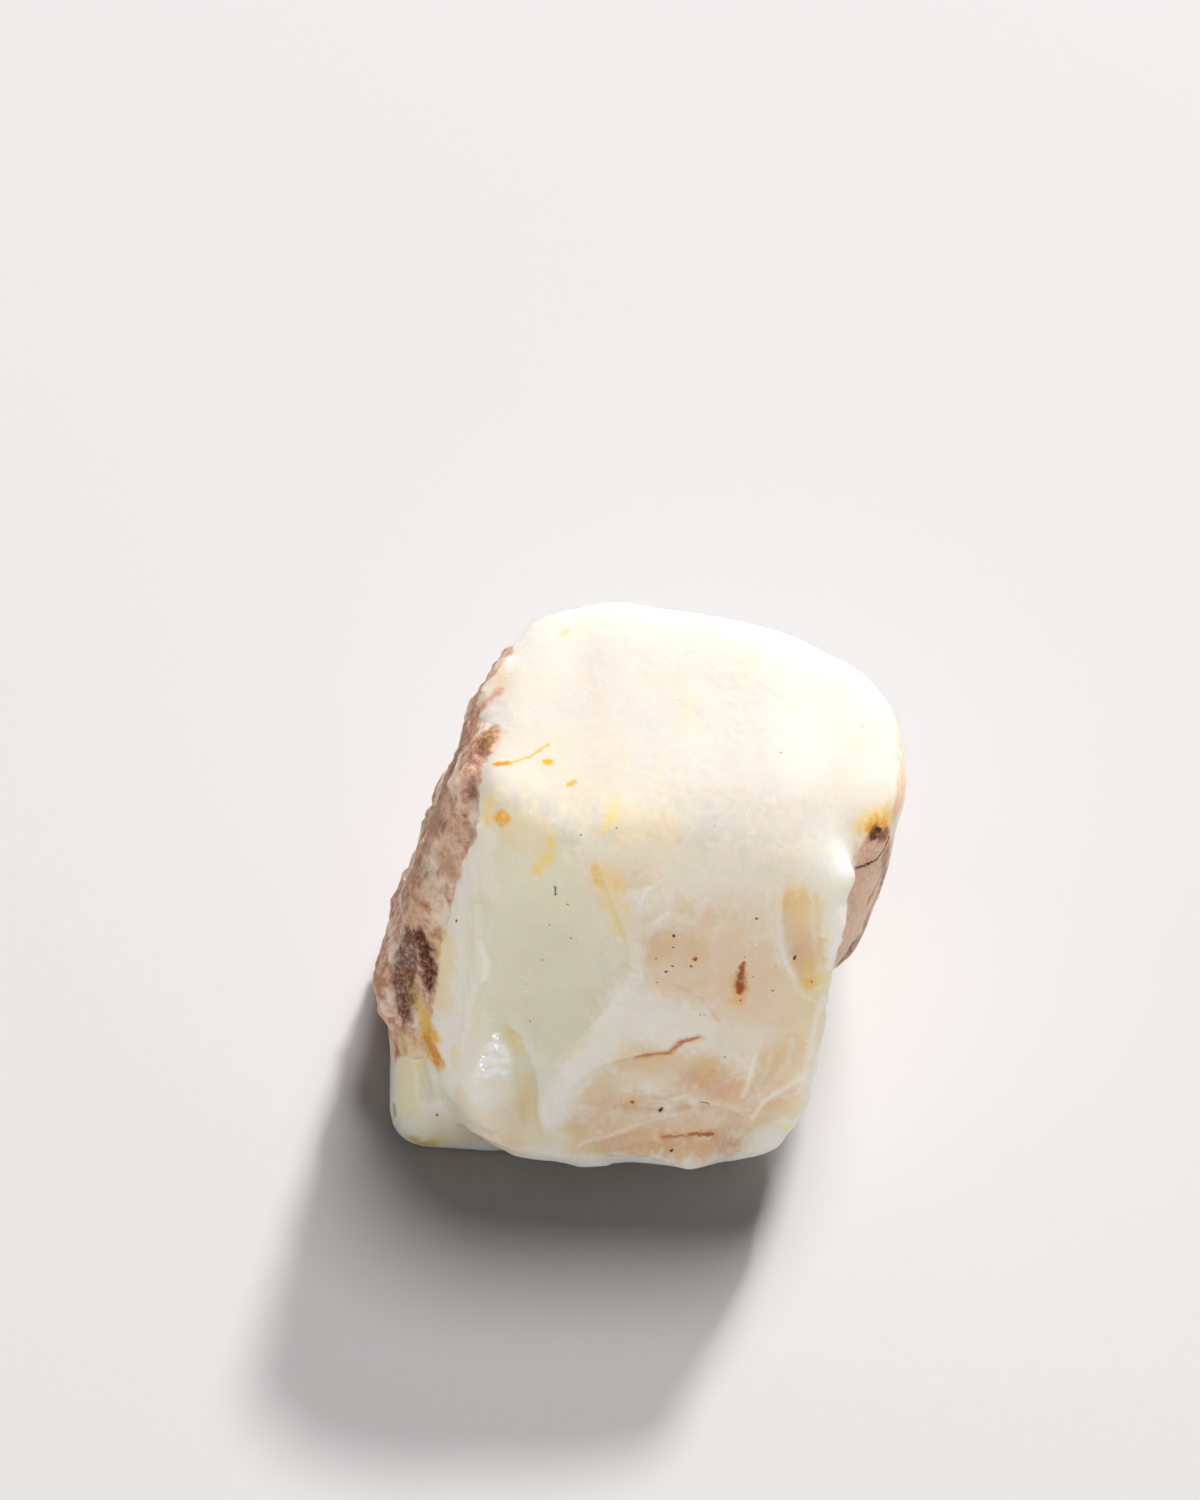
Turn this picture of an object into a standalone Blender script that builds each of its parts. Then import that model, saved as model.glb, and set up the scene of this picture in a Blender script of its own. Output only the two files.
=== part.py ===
"""A rough opal: one broken lump of milky opal, with the skin of host rock it grew in still on its sides."""

import math

import bmesh
import bpy
import numpy as np
from mathutils import Vector, noise

STONE = "rough_opal"
METRES_PER_MM = 0.001

# Sizes are in millimetres, X to the right, Y to the back and Z up, with the stone on the plane Z = 0.
# Faces and scars are set out from the core, a point in the middle of the stone.
CORE = np.array([0.0, 0.0, 16.0])

# Every break face is a flat: the azimuth and elevation it faces, in degrees, its distance from the core
# and the rounding of its edges. Azimuth 0 is the front, 90 the right, 180 the back and -90 the left.
MAIN_BLOCK = {
    "top": (-10, 88, 14.4, 4.0),
    "front left": (-14, 19, 11.6, 3.5),
    "front right": (10, 15, 12.8, 7.0),
    "front right corner": (45, -20, 18.7, 3.0),
    "right": (95, -8, 10.7, 1.0),
    "right shoulder": (82, 40, 18.8, 4.0),
    "back right": (161, 10, 15.0, 3.0),
    "back": (180, 8, 15.7, 4.0),
    "back left": (-140, 10, 16.3, 3.0),
    "left": (-103, 14, 14.7, 3.0),
    "left front": (-52, 17, 13.3, 1.5),
    "front under": (0, -55, 18.3, 2.0),
    "lobe left": (-50, -25, 19.6, 1.5),
    "left under": (-95, -40, 20.6, 3.0),
    "back under": (180, -35, 17.0, 3.0),
    "right under": (110, -35, 12.9, 3.0),
    "rest": (0, -90, 16.0, 1.5),
}
RIGHT_SHOULDER = {
    "top": (-10, 88, 14.4, 3.0),
    "front": (8, 18, 9.6, 3.0),
    "right shoulder": (82, 40, 19.4, 4.0),
    "right": (85, -8, 15.6, 1.5),
    "right back": (105, 10, 18.9, 1.5),
    "recess wall": (50, -5, 13.3, 3.0),
    "right under": (80, -35, 16.5, 3.0),
    "back right": (161, 10, 15.0, 3.0),
    "back": (180, 8, 15.7, 4.0),
    "underside": (20, -50, 9.6, 3.0),
    "left": (-90, 0, 4.0, 3.0),
    "rest": (0, -90, 16.0, 1.5),
}
LEFT_FOOT = {
    "front": (-4, 15, 7.3, 1.5),
    "left": (-88, 3, 16.5, 2.5),
    "top": (-60, 40, 6.5, 2.0),
    "ceiling": (0, 90, -6.0, 3.0),
    "right": (90, 0, -7.0, 1.5),
    "back": (180, 0, 6.0, 1.5),
    "rest": (0, -90, 16.0, 1.0),
}
BLOCKS = (MAIN_BLOCK, RIGHT_SHOULDER, LEFT_FOOT)
FOLD_ROUNDING = 1.0
ROUNDING_FILL = 0.25

# Shell-shaped break scars: a point on the face, the azimuth and elevation it faces,
# the radius of the hollow, its depth and the rounding of its rim.
SCARS = {
    "front left hollow": ((-6.5, -9.6, 18.0), -14, 17, 26.0, 0.7, 0.8),
    "front right flake": ((9.6, -9.6, 22.3), 20, 12, 5.0, 0.45, 0.3),
    "front low flake": ((6.5, -13.6, 9.5), 18, -14, 9.0, 0.4, 0.5),
    "bulge groove": ((-6.6, -11.8, 11.5), -25, 0, 6.0, 0.35, 0.5),
    "back high hollow": ((5.0, 15.2, 19.0), 166, 14, 24.0, 0.7, 0.6),
    "back low hollow": ((-5.0, 15.0, 8.0), -164, -16, 22.0, 0.6, 0.8),
    "right hollow": ((16.2, 7.0, 17.0), 104, -10, 24.0, 0.5, 0.6),
    "left hollow": ((-15.5, 8.0, 12.0), -108, 2, 24.0, 0.4, 0.9),
}

# The host rock is skin beyond these cuts: azimuth and elevation of each cut's facing, distance from the core
LEFT_SKIN = ((-105, 7, 11.3), (180, 36, -11.6))
RIGHT_SKIN = ((95, -8, 11.2), (-48, -57, -1.3))
BACK_SKIN = ((170, -40, 14.2),)
SKINS = (LEFT_SKIN, RIGHT_SKIN, BACK_SKIN)
SKIN_EDGE = 1.2

# Relief: height and spacing of the lumps in the skin, and of the soft waves in the opal
SKIN_LUMP_HEIGHT = 0.50
RIGHT_SKIN_CALM = 0.3
RELIEF_STARTS_ABOVE = 3.0
SKIN_LUMP_SPACING = 3.4
SKIN_PIT_HEIGHT = 0.30
SKIN_PIT_SPACING = 1.6
OPAL_WAVE_HEIGHT = 0.16
OPAL_WAVE_SPACING = 7.0
CRACK_STEP = 0.5
CRACK_WIDTH = 0.5

# The middle of the stone's box in X and Y, which is moved over the origin
BOX_MIDDLE = (-0.51, 1.195)

# Mesh: quads along each side of the starting cube, and how high the resting face is trimmed
QUADS_PER_SIDE = 27
REST_TRIM = 0.12
MERGE_DISTANCE = 0.12
STEPS_TO_SURFACE = 20
FIRST_REACH = 26.0
LONGEST_STEP = 4.0
SLOPE_PROBE = 0.02
STEEPEST_AND_FLATTEST = (0.25, 1.0)
SHARP_ANGLE = 40.0

OPAL_COLOUR = (0.83, 0.79, 0.68, 1.0)
OPAL_ROUGHNESS = 0.35


def clear_scene():
    """Remove every object from the scene."""
    for thing in list(bpy.data.objects):
        bpy.data.objects.remove(thing, do_unlink=True)


def facing(azimuth, elevation):
    """Unit vector that faces the given way."""
    around = math.radians(azimuth)
    up = math.radians(elevation)
    return np.array([math.sin(around) * math.cos(up), -math.cos(around) * math.cos(up), math.sin(up)])


def rounded_max(a, b, rounding):
    """The larger of two distances, with the crease between them rounded."""
    overlap = np.maximum(rounding - np.abs(a - b), 0.0) / rounding
    return np.maximum(a, b) + overlap * overlap * rounding * ROUNDING_FILL


def block_distance(points, faces):
    """Distance outside a block bounded by flat break faces, negative inside it."""
    distance = None
    for azimuth, elevation, reach, rounding in faces.values():
        beyond = (points - CORE) @ facing(azimuth, elevation) - reach
        distance = beyond if distance is None else rounded_max(distance, beyond, rounding)
    return distance


def stone_distance(points):
    """Distance outside the whole stone: its blocks grown together, with the scars broken out of them."""
    distance = None
    for faces in BLOCKS:
        block = block_distance(points, faces)
        distance = block if distance is None else -rounded_max(-distance, -block, FOLD_ROUNDING)
    for place, azimuth, elevation, radius, depth, rounding in SCARS.values():
        centre = np.array(place) + facing(azimuth, elevation) * (radius - depth)
        hollow = radius - np.linalg.norm(points - centre, axis=1)
        distance = rounded_max(distance, hollow, rounding)
    return distance


def reach_surface(directions):
    """Distance from the core to the stone's surface along each direction."""
    reach = np.full(len(directions), FIRST_REACH)
    for _ in range(STEPS_TO_SURFACE):
        here = stone_distance(CORE + directions * reach[:, None])
        beyond = stone_distance(CORE + directions * (reach + SLOPE_PROBE)[:, None])
        slope = np.clip((beyond - here) / SLOPE_PROBE, *STEEPEST_AND_FLATTEST)
        reach = reach - np.clip(here / slope, -LONGEST_STEP, LONGEST_STEP)
    return reach


def depth_in_skin(points, cuts):
    """How far each point lies beyond every cut that bounds a skin."""
    depths = [(points - CORE) @ facing(azimuth, elevation) - reach for azimuth, elevation, reach in cuts]
    return np.minimum.reduce(depths)


def skin_cover(points):
    """1 where the surface is host rock, 0 where it is opal."""
    depth = np.maximum.reduce([depth_in_skin(points, cuts) for cuts in SKINS])
    return np.clip(depth / SKIN_EDGE, 0.0, 1.0)


def lumps(points, spacing):
    """Smooth lumps between -1 and 1, one every spacing or so."""
    return np.array([noise.noise(Vector(point / spacing)) for point in points])


def relief(points):
    """Height of the lumps and waves on the surface, and of the step under the crack on the right."""
    cover = skin_cover(points)
    rock = SKIN_LUMP_HEIGHT * lumps(points, SKIN_LUMP_SPACING)
    rock += SKIN_PIT_HEIGHT * lumps(points, SKIN_PIT_SPACING)
    rock *= np.where(points[:, 0] > 0.0, RIGHT_SKIN_CALM, 1.0)
    opal = OPAL_WAVE_HEIGHT * lumps(points, OPAL_WAVE_SPACING)
    step = CRACK_STEP * np.clip(depth_in_skin(points, RIGHT_SKIN) / CRACK_WIDTH, 0.0, 1.0)
    height = cover * rock + (1.0 - cover) * opal - step
    return height * np.clip(points[:, 2] / RELIEF_STARTS_ABOVE, 0.0, 1.0)


def spread_evenly(corner):
    """Turn a point on the starting cube into a direction, with the directions evenly spread."""
    return Vector([math.tan(value * math.pi / 4.0) for value in corner]).normalized()


def shape_stone(shell):
    """Pull every vertex of the starting cube out to the stone's surface."""
    directions = np.array([spread_evenly(vertex.co) for vertex in shell.verts])
    points = CORE + directions * reach_surface(directions)[:, None]
    points += directions * relief(points)[:, None]
    for vertex, point in zip(shell.verts, points):
        vertex.co = point


def trim_resting_face(shell):
    """Cut the underside to one flat face that the stone rests on."""
    everything = shell.verts[:] + shell.edges[:] + shell.faces[:]
    level = (0, 0, REST_TRIM)
    bmesh.ops.bisect_plane(shell, geom=everything, plane_co=level, plane_no=(0, 0, 1), clear_inner=True)
    bmesh.ops.remove_doubles(shell, verts=shell.verts[:], dist=MERGE_DISTANCE)
    rim = [edge for edge in shell.edges if edge.is_boundary]
    for vertex in {vertex for edge in rim for vertex in edge.verts}:
        vertex.co.z = REST_TRIM
    bmesh.ops.holes_fill(shell, edges=rim)


def stand_on_origin(shell):
    """Stand the stone on Z = 0, with the middle of its box over the origin."""
    offset = Vector((-BOX_MIDDLE[0], -BOX_MIDDLE[1], -REST_TRIM))
    bmesh.ops.translate(shell, verts=shell.verts[:], vec=offset)


def opal_material():
    """Milky opal with a waxy shine."""
    material = bpy.data.materials.new("opal")
    material.use_nodes = True
    shader = material.node_tree.nodes["Principled BSDF"]
    shader.inputs["Base Color"].default_value = OPAL_COLOUR
    shader.inputs["Roughness"].default_value = OPAL_ROUGHNESS
    shader.inputs["Metallic"].default_value = 0.0
    return material


def build_stone():
    """The stone, one closed body."""
    shell = bmesh.new()
    bmesh.ops.create_cube(shell, size=2.0)
    bmesh.ops.subdivide_edges(shell, edges=shell.edges[:], cuts=QUADS_PER_SIDE - 1, use_grid_fill=True)
    shape_stone(shell)
    trim_resting_face(shell)
    stand_on_origin(shell)
    bmesh.ops.scale(shell, vec=(METRES_PER_MM,) * 3, verts=shell.verts[:])
    bmesh.ops.recalc_face_normals(shell, faces=shell.faces[:])
    mesh = bpy.data.meshes.new(STONE)
    shell.to_mesh(mesh)
    shell.free()
    mesh.shade_smooth()
    mesh.set_sharp_from_angle(angle=math.radians(SHARP_ANGLE))
    mesh.materials.append(opal_material())
    stone = bpy.data.objects.new(STONE, mesh)
    bpy.context.scene.collection.objects.link(stone)
    return stone


clear_scene()
build_stone()
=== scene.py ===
"""The looks of a rough opal: the studio, and the stone at a fine step with its host rock and stains."""

import math

import bmesh
import bpy
import numpy as np
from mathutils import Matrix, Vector, noise
from mathutils.bvhtree import BVHTree
from mathutils.kdtree import KDTree


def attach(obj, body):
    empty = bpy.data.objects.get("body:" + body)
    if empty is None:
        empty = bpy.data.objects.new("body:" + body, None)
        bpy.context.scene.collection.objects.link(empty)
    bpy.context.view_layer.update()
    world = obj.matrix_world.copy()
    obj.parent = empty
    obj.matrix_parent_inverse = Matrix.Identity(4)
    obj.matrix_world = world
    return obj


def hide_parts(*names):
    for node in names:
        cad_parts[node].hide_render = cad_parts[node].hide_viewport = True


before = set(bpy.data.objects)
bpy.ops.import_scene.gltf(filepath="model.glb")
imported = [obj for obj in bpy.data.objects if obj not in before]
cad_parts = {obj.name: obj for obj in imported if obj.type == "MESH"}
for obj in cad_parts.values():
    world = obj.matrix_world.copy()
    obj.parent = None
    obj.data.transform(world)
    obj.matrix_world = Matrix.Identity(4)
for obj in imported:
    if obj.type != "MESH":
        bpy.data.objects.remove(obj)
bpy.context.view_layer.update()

STONE = "opal_stone"
CAD_STONE = "rough_opal"
METRES_PER_MM = 0.001

# Sizes are in millimetres, X to the right, Y to the back and Z up.
# Azimuth 0 is the front, 90 the right, 180 the back and -90 the left.

# Camera: the photograph's frame in pixels, and where it was taken from
PHOTO_WIDTH = 1200
PHOTO_HEIGHT = 1500
SENSOR = 36.0
LENS = 150.0
CAMERA_ELEVATION = 54.0
CAMERA_DISTANCE = 412.5
CAMERA_AIM = np.array([-2.46, 5.935, 21.06])

# Lights: azimuth, elevation, distance, diameter, power in watts and colour
LIGHTS = {
    "main lamp": (155, 42, 2500, 275, 38.0, (1.0, 0.975, 0.955)),
    "second lamp": (152, 61, 2500, 800, 29.5, (1.0, 0.98, 0.965)),
    "left fill": (-42, 6, 500, 80, 0.78, (1.0, 0.98, 0.94)),
    "right fill": (62, 6, 500, 80, 0.27, (1.0, 0.97, 0.92)),
    "crest fill": (14, 64, 500, 160, 0.66, (1.0, 0.98, 0.94)),
}
# The fills reach the stone alone. They stand in for the light that fills the real one from inside.
STONE_FILLS = ("left fill", "right fill", "crest fill")
AMBIENT_COLOUR = (1.0, 0.97, 0.95, 1.0)
AMBIENT_STRENGTH = 0.085
BACKDROP_COLOUR = (0.88, 0.86, 0.85, 1.0)

FLOOR_SIZE = 6000.0
FLOOR_COLOUR = (0.92, 0.92, 0.935, 1.0)
FLOOR_ROUGHNESS = 0.9

# The stone's blocks, scars and skins, the same as its solid's: see the solid for what each number is.
# Faces and scars are set out from the core, a point in the middle of the stone.
CORE = np.array([0.0, 0.0, 16.0])
MAIN_BLOCK = {
    "top": (-10, 88, 14.4, 4.0),
    "front left": (-14, 19, 11.6, 3.5),
    "front right": (10, 15, 12.8, 7.0),
    "front right corner": (45, -20, 18.7, 3.0),
    "right": (95, -8, 10.7, 1.0),
    "right shoulder": (82, 40, 18.8, 4.0),
    "back right": (161, 10, 15.0, 3.0),
    "back": (180, 8, 15.7, 4.0),
    "back left": (-140, 10, 16.3, 3.0),
    "left": (-103, 14, 14.7, 3.0),
    "left front": (-52, 17, 13.3, 1.5),
    "front under": (0, -55, 18.3, 2.0),
    "lobe left": (-50, -25, 19.6, 1.5),
    "left under": (-95, -40, 20.6, 3.0),
    "back under": (180, -35, 17.0, 3.0),
    "right under": (110, -35, 12.9, 3.0),
    "rest": (0, -90, 16.0, 1.5),
}
RIGHT_SHOULDER = {
    "top": (-10, 88, 14.4, 3.0),
    "front": (8, 18, 9.6, 3.0),
    "right shoulder": (82, 40, 19.4, 4.0),
    "right": (85, -8, 15.6, 1.5),
    "right back": (105, 10, 18.9, 1.5),
    "recess wall": (50, -5, 13.3, 3.0),
    "right under": (80, -35, 16.5, 3.0),
    "back right": (161, 10, 15.0, 3.0),
    "back": (180, 8, 15.7, 4.0),
    "underside": (20, -50, 9.6, 3.0),
    "left": (-90, 0, 4.0, 3.0),
    "rest": (0, -90, 16.0, 1.5),
}
LEFT_FOOT = {
    "front": (-4, 15, 7.3, 1.5),
    "left": (-88, 3, 16.5, 2.5),
    "top": (-60, 40, 6.5, 2.0),
    "ceiling": (0, 90, -6.0, 3.0),
    "right": (90, 0, -7.0, 1.5),
    "back": (180, 0, 6.0, 1.5),
    "rest": (0, -90, 16.0, 1.0),
}
BLOCKS = (MAIN_BLOCK, RIGHT_SHOULDER, LEFT_FOOT)
FOLD_ROUNDING = 1.0
ROUNDING_FILL = 0.25
SCARS = {
    "front left hollow": ((-6.5, -9.6, 18.0), -14, 17, 26.0, 0.7, 0.8),
    "front right flake": ((9.6, -9.6, 22.3), 20, 12, 5.0, 0.45, 0.3),
    "front low flake": ((6.5, -13.6, 9.5), 18, -14, 9.0, 0.4, 0.5),
    "bulge groove": ((-6.6, -11.8, 11.5), -25, 0, 6.0, 0.35, 0.5),
    "back high hollow": ((5.0, 15.2, 19.0), 166, 14, 24.0, 0.7, 0.6),
    "back low hollow": ((-5.0, 15.0, 8.0), -164, -16, 22.0, 0.6, 0.8),
    "right hollow": ((16.2, 7.0, 17.0), 104, -10, 24.0, 0.5, 0.6),
    "left hollow": ((-15.5, 8.0, 12.0), -108, 2, 24.0, 0.4, 0.9),
}
LEFT_SKIN = ((-105, 7, 11.3), (180, 36, -11.6))
RIGHT_SKIN = ((95, -8, 11.2), (-48, -57, -1.3))
BACK_SKIN = ((170, -40, 14.2),)
SKINS = (LEFT_SKIN, RIGHT_SKIN, BACK_SKIN)
SKIN_EDGE = 1.2
SKIN_LUMP_HEIGHT = 0.50
RIGHT_SKIN_CALM = 0.3
RELIEF_STARTS_ABOVE = 3.0
SKIN_LUMP_SPACING = 3.4
SKIN_PIT_HEIGHT = 0.30
SKIN_PIT_SPACING = 1.6
OPAL_WAVE_HEIGHT = 0.16
OPAL_WAVE_SPACING = 7.0
CRACK_STEP = 0.5
CRACK_WIDTH = 0.5
BOX_MIDDLE = (-0.51, 1.195)
REST_TRIM = 0.12
STEPS_TO_SURFACE = 20
FIRST_REACH = 26.0
LONGEST_STEP = 4.0
SLOPE_PROBE = 0.02
STEEPEST_AND_FLATTEST = (0.25, 1.0)

# Mesh: quads along each side of the starting cube, and how much closer they lie at the detailed front
QUADS_PER_SIDE = 128
FRONT_PULL = 0.42
MERGE_DISTANCE = 0.004

# From the stone's own middle to where the solid stands
STAND = np.array([-BOX_MIDDLE[0], -BOX_MIDDLE[1], -REST_TRIM])

# Unevenness of the stains' edges, as pairs of share and spacing
RAGGED_EDGES = ((0.5, 1.1), (0.6, 0.45))

# Finer relief, as pairs of height and spacing
ROCK_GRAINS = ((0.22, 1.0), (0.12, 0.5))
OPAL_RIPPLES = ((0.09, 3.0), (0.03, 1.1))

# Streaks down the breaks: height, spacing, and how much shorter they are across than along
STREAK_HEIGHT = 0.035
STREAK_SPACING = 0.55
STREAK_ALONG = np.array([1.0, 1.0, 0.22])

# Small facets that the breaks fall into: how many are scattered round the core and how far out,
# their tilt, the number that meet at a point and how sharp the edges between them are
FACET_COUNT = 1200
FACET_REACH = 21.0
FACET_TILT = 0.055
FACETS_THAT_MEET = 4
FACET_SHARPNESS = 1.4
FACET_SEED = 5
# Heights on the stone, and how strong the facets are there
FACET_HEIGHTS = (5.0, 14.0, 25.0, 29.0)
FACET_STRENGTHS = (1.0, 0.4, 0.4, 0.0)

# Raised lines on the breaks: height, half width, and the pixels of the photograph that they pass through
RIDGES = {
    "left face bright line": (0.12, 0.22, ((478, 905), (480, 943), (487, 962), (485, 980))),
    "left face faint line": (0.08, 0.30, ((467, 985), (470, 1021), (465, 1050))),
    "middle white ridge": (0.16, 0.80, ((628, 985), (600, 1040), (575, 1070), (552, 1110))),
    "right face upper line": (0.10, 0.20, ((757, 1053), (752, 1071), (747, 1090), (744, 1096))),
    "right face lower line": (0.14, 0.25, ((803, 1077), (780, 1091), (764, 1101), (753, 1117))),
    "right band": (0.14, 0.30, ((822, 1000), (814, 1030), (810, 1053), (806, 1080))),
    "low grey line": (0.08, 0.20, ((700, 1100), (710, 1104), (725, 1105), (737, 1110), (744, 1117))),
    "flake rim": (0.12, 0.30, ((779, 900), (780, 940), (786, 962), (800, 984), (814, 994))),
    "right ridge": (0.16, 0.45, (
        (819, 838), (835, 848), (851, 864), (854, 876), (849, 892), (840, 912), (836, 940),
    )),
    "right ridge foot": (0.16, 0.35, ((836, 940), (833, 959), (827, 977))),
    "high middle streak": (0.08, 0.15, ((655, 924), (669, 913))),
    "bright patch line": (0.08, 0.20, ((640, 1014), (660, 1010), (680, 1012))),
    "foot strand": (0.10, 0.30, ((425, 1070), (405, 1092), (392, 1107))),
    "left strip line": (0.10, 0.16, ((460, 884), (456, 930), (462, 975), (458, 1002))),
    "left strip second line": (0.08, 0.16, ((470, 905), (469, 950), (474, 990))),
    "groove line": (0.07, 0.15, ((515, 1040), (522, 1075), (525, 1110))),
    "low fan one": (0.07, 0.15, ((623, 1090), (650, 1098), (676, 1098), (704, 1090))),
    "low fan two": (0.07, 0.15, ((640, 1106), (668, 1108), (700, 1100), (728, 1082))),
    "low fan three": (0.06, 0.15, ((612, 1112), (640, 1118), (664, 1110))),
    "low right line": (0.09, 0.16, ((776, 1043), (764, 1078), (746, 1108), (723, 1113))),
    "low right second line": (0.07, 0.15, ((792, 1040), (788, 1062), (772, 1084), (756, 1098))),
    "crest line one": (0.07, 0.18, ((655, 872), (670, 892), (668, 915))),
    "crest line two": (0.07, 0.18, ((705, 868), (712, 890), (700, 912))),
    "wedge line": (0.08, 0.16, ((597, 872), (606, 905), (620, 940))),
    "bright patch second line": (0.07, 0.16, ((652, 1030), (684, 1018), (717, 1002))),
    "bowl line": (0.07, 0.16, ((806, 866), (812, 900), (814, 940), (820, 970))),
}

# Painted highlight along the raised lines, whiter than the rest: strength, half width and fade
RIDGE_SHINE = (0.45, 0.06, 0.28)

# Ledges where a flake came off: drop, how far the raised side reaches back, and the pixels along the edge,
# with the lower side to the right of the way along
LEDGES = {
    "bulge groove edge": (0.36, 1.8, (
        (514, 1030), (521, 1035), (528, 1053), (536, 1067), (539, 1099), (541, 1122),
    )),
    "bulge groove flank": (0.20, 1.4, ((521, 1112), (517, 1092), (511, 1042))),
    "flake bowl edge": (0.34, 1.4, (
        (806, 988), (796, 975), (788, 959), (784, 943), (782, 917), (784, 893),
    )),
    "flake bowl foot": (0.22, 0.9, ((826, 998), (812, 995), (800, 984))),
    "left face edge": (0.24, 1.6, (
        (468, 1045), (472, 1015), (485, 980), (480, 943), (477, 905), (474, 865),
    )),
    "middle edge": (0.22, 2.2, (
        (600, 870), (614, 905), (627, 940), (630, 968), (616, 990), (598, 1014), (578, 1037),
    )),
    "white edge": (0.26, 2.2, (
        (557, 1121), (566, 1100), (575, 1085), (594, 1069), (612, 1062), (632, 1055),
    )),
    "brown line edge": (0.16, 1.6, (
        (636, 1057), (655, 1054), (669, 1053), (682, 1042), (695, 1038), (712, 1033),
    )),
    "hollow edge": (0.20, 1.2, ((646, 968), (648, 945), (656, 932), (672, 926), (692, 925))),
    "low right ledge": (0.26, 1.4, ((753, 1117), (764, 1101), (780, 1091), (803, 1077))),
    "right face ledge": (0.18, 1.4, ((744, 1096), (747, 1090), (752, 1071), (757, 1053), (768, 1034))),
    "low middle ledge": (0.24, 1.4, (
        (578, 1146), (600, 1140), (625, 1132), (639, 1125), (657, 1119), (675, 1115),
    )),
    "low second ledge": (0.16, 0.9, ((594, 1150), (635, 1142), (664, 1139), (692, 1136), (740, 1139))),
    "low grey ledge": (0.12, 1.0, ((700, 1100), (710, 1104), (725, 1105), (737, 1110), (744, 1117))),
    "high middle edge": (0.16, 1.4, ((735, 905), (716, 925), (708, 950), (712, 985), (700, 1008))),
    "low sweep edge": (0.18, 1.2, ((699, 1102), (746, 1108), (776, 1122), (800, 1108))),
    "lobe seam": (0.30, 1.0, (
        (520, 1148), (500, 1138), (478, 1128), (455, 1118), (440, 1100), (432, 1078),
    )),
    "right band edge": (0.20, 0.7, ((819, 999), (810, 1030), (805, 1053), (802, 1076))),
    "lip": (0.24, 0.7, (
        (790, 1128), (760, 1144), (720, 1152), (682, 1157), (640, 1149), (600, 1151), (555, 1152),
        (528, 1145),
    )),
}
LEDGE_EDGE = 0.30

# Soft swells and dents: height, radius and pixel
SWELLS = {
    "middle white swell": (0.25, 1.8, (558, 1090)),
    "right ridge": (0.75, 1.3, (842, 876)),
    "right ridge low": (0.30, 0.9, (836, 925)),
    "glint bump one": (0.10, 0.35, (498, 1050)),
    "glint bump two": (0.10, 0.35, (490, 1068)),
    "bulge": (0.35, 1.9, (482, 1082)),
    "bright patch": (0.25, 2.0, (652, 1022)),
    "lilac patch": (0.20, 1.4, (746, 1034)),
    "pink patch": (0.14, 1.0, (660, 1084)),
    "right high swell": (0.20, 1.8, (752, 882)),
    "left face dent": (-0.30, 3.6, (535, 925)),
    "green dent": (-0.25, 1.5, (598, 1003)),
    "hollow": (-0.30, 1.3, (666, 946)),
    "hollow side": (-0.16, 0.9, (694, 950)),
    "red spot dent": (-0.20, 1.1, (742, 984)),
    "bowl": (-0.20, 1.2, (808, 935)),
    "beige dent": (-0.32, 1.9, (602, 1098)),
    "tan dent": (-0.26, 1.5, (783, 1056)),
    "middle dent": (-0.22, 1.6, (708, 1072)),
    "low lobe": (0.35, 1.5, (690, 1158)),
    "low left lobe": (0.25, 1.6, (572, 1156)),
    "low notch": (-0.20, 0.8, (634, 1160)),
    "crack mouth": (-0.35, 0.35, (870, 863)),
    "stain pit one": (-0.25, 0.35, (878, 829)),
    "stain pit two": (-0.25, 0.30, (873, 837)),
    "recess lump": (0.35, 0.9, (866, 880)),
    "left white lump": (0.35, 0.7, (462, 786)),
    "left island": (0.30, 1.0, (455, 845)),
    "left low lump": (0.30, 0.7, (425, 955)),
    "left tip lump": (0.30, 0.6, (488, 738)),
    "left top lump": (0.30, 0.8, (507, 662)),
    "left fold": (-0.35, 0.5, (470, 830)),
    "left notch": (-0.35, 0.5, (472, 790)),
}

# The edge of the host rock on the left, from the top down, and how softly its colour fades there
ROCK_EDGE = (
    (505, 648), (487, 682), (476, 704), (482, 722), (500, 728), (497, 742), (484, 764), (479, 790),
    (477, 835), (462, 862), (455, 890), (448, 920), (440, 950), (437, 985), (432, 1010), (430, 1040),
    (425, 1062),
)
ROCK_FADE = 1.0

# Painted shade on the top, a little darker than the breaks: heights on the stone, and how strongly its tone
# shows there
PAINTED_TOP_SHADE_HEIGHTS = (27.2, 30.0)
PAINTED_TOP_SHADE_STRENGTHS = (0.0, 0.92)
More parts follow.
